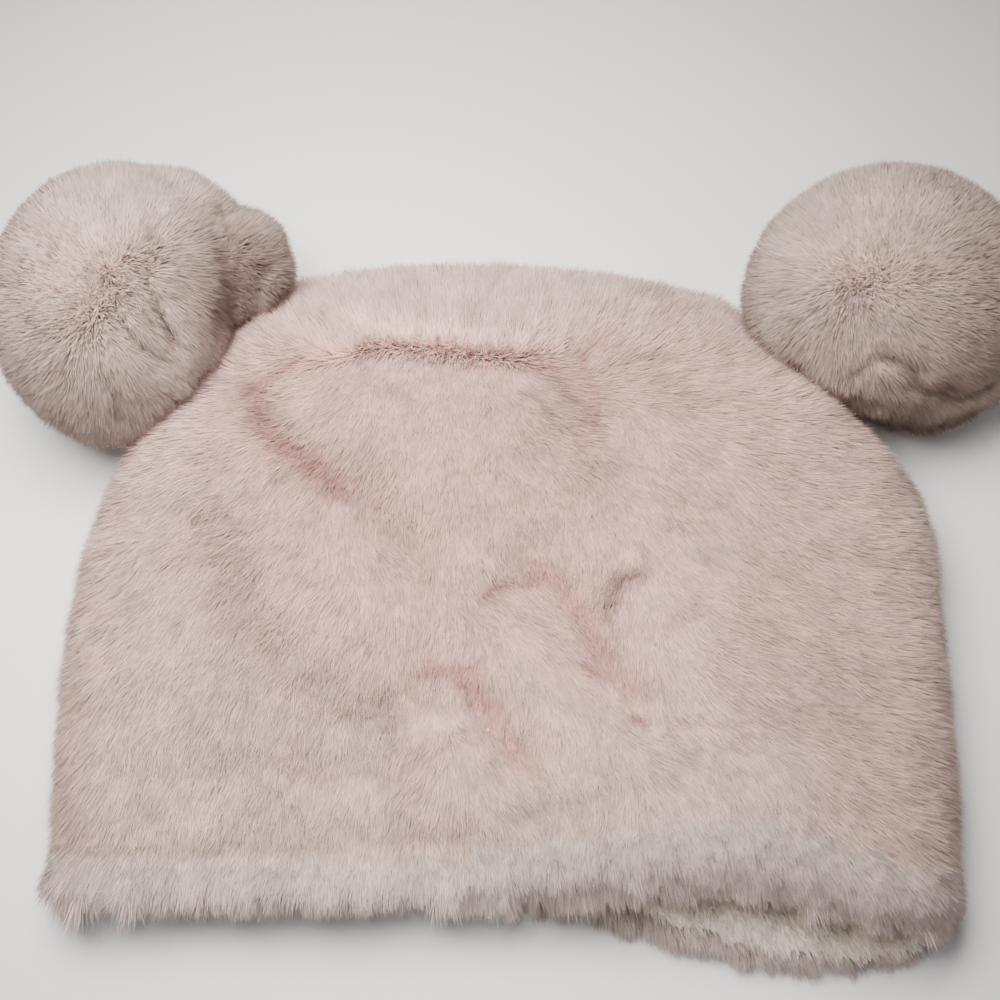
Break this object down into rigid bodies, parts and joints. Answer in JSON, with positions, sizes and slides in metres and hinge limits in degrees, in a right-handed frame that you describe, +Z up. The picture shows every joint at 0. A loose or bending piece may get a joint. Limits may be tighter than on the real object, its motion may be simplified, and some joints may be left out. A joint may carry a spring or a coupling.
{
  "type": "plush animal hat",
  "caption": "Flat-lying faux-fur bag hat with a soft turned hem, a short-pile lining and round fur pompom ears at the crown's corners.",
  "frame": {"origin": "centre of the bounding box at the height of the surface the hat lies on", "axes": "+Z up from the table, +X to the picture's right along the brim, +Y from the brim to the crown"},
  "size_m": [0.3532, 0.26, 0.0915],
  "materials": {
    "body_fur": "dusty pink long-pile faux fur with paler tips",
    "hem_fur": "dusty pink faux fur turned over into a fringe of locks",
    "lining_fleece": "cream short-pile fleece",
    "pompom_fur": "dusty pink faux fur gathered into a ball"
  },
  "bodies": {
    "root": {"fur_shell": "body_fur", "hem_roll": "hem_fur", "fleece_lining": "lining_fleece", "pompom_left": "pompom_fur", "pompom_right": "pompom_fur"}
  },
  "joints": []
}
